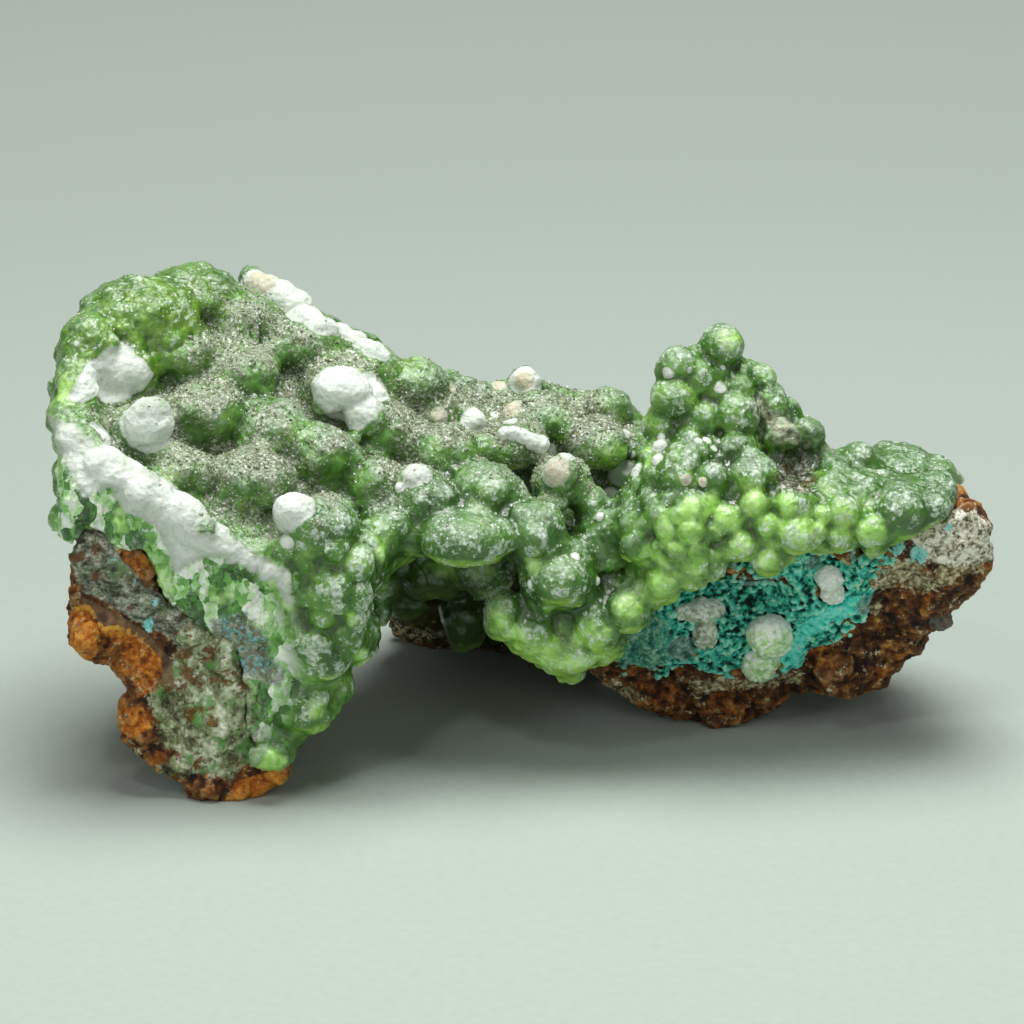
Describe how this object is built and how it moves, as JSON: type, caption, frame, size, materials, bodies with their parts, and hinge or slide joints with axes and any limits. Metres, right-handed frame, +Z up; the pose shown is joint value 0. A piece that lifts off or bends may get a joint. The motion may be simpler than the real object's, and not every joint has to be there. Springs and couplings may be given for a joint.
{
  "type": "smithsonite mineral specimen",
  "caption": "Hand specimen of green botryoidal smithsonite on brown limonite, arched between two feet, with a turquoise-lined pocket.",
  "frame": {"origin": "centre of the bounding box at its bottom, on the surface that the specimen rests on", "axes": "+Z up; +X along the length, from the domed left lobe to the rocky tip on the right; -Y towards the viewer who faces the arch"},
  "size_m": [0.094, 0.0468, 0.0474],
  "materials": {
    "limonite": "earthy brown and ochre iron oxide, rough and porous",
    "smithsonite": "green, waxy to glassy, slightly translucent rounded crust, dusted with fine white crystals",
    "aurichalcite": "turquoise, matt and velvety",
    "pale_smithsonite": "pale green, waxy and translucent",
    "grey_green_smithsonite": "dusty grey-green, finely rough",
    "white_smithsonite": "white, sugary and fine-grained"
  },
  "bodies": {
    "root": {"limonite_matrix": "limonite", "smithsonite_crust": "smithsonite", "aurichalcite_lining": "aurichalcite", "pocket_ball_pair": "pale_smithsonite", "pocket_cluster": "grey_green_smithsonite", "pocket_white_ball": "white_smithsonite"}
  },
  "joints": []
}
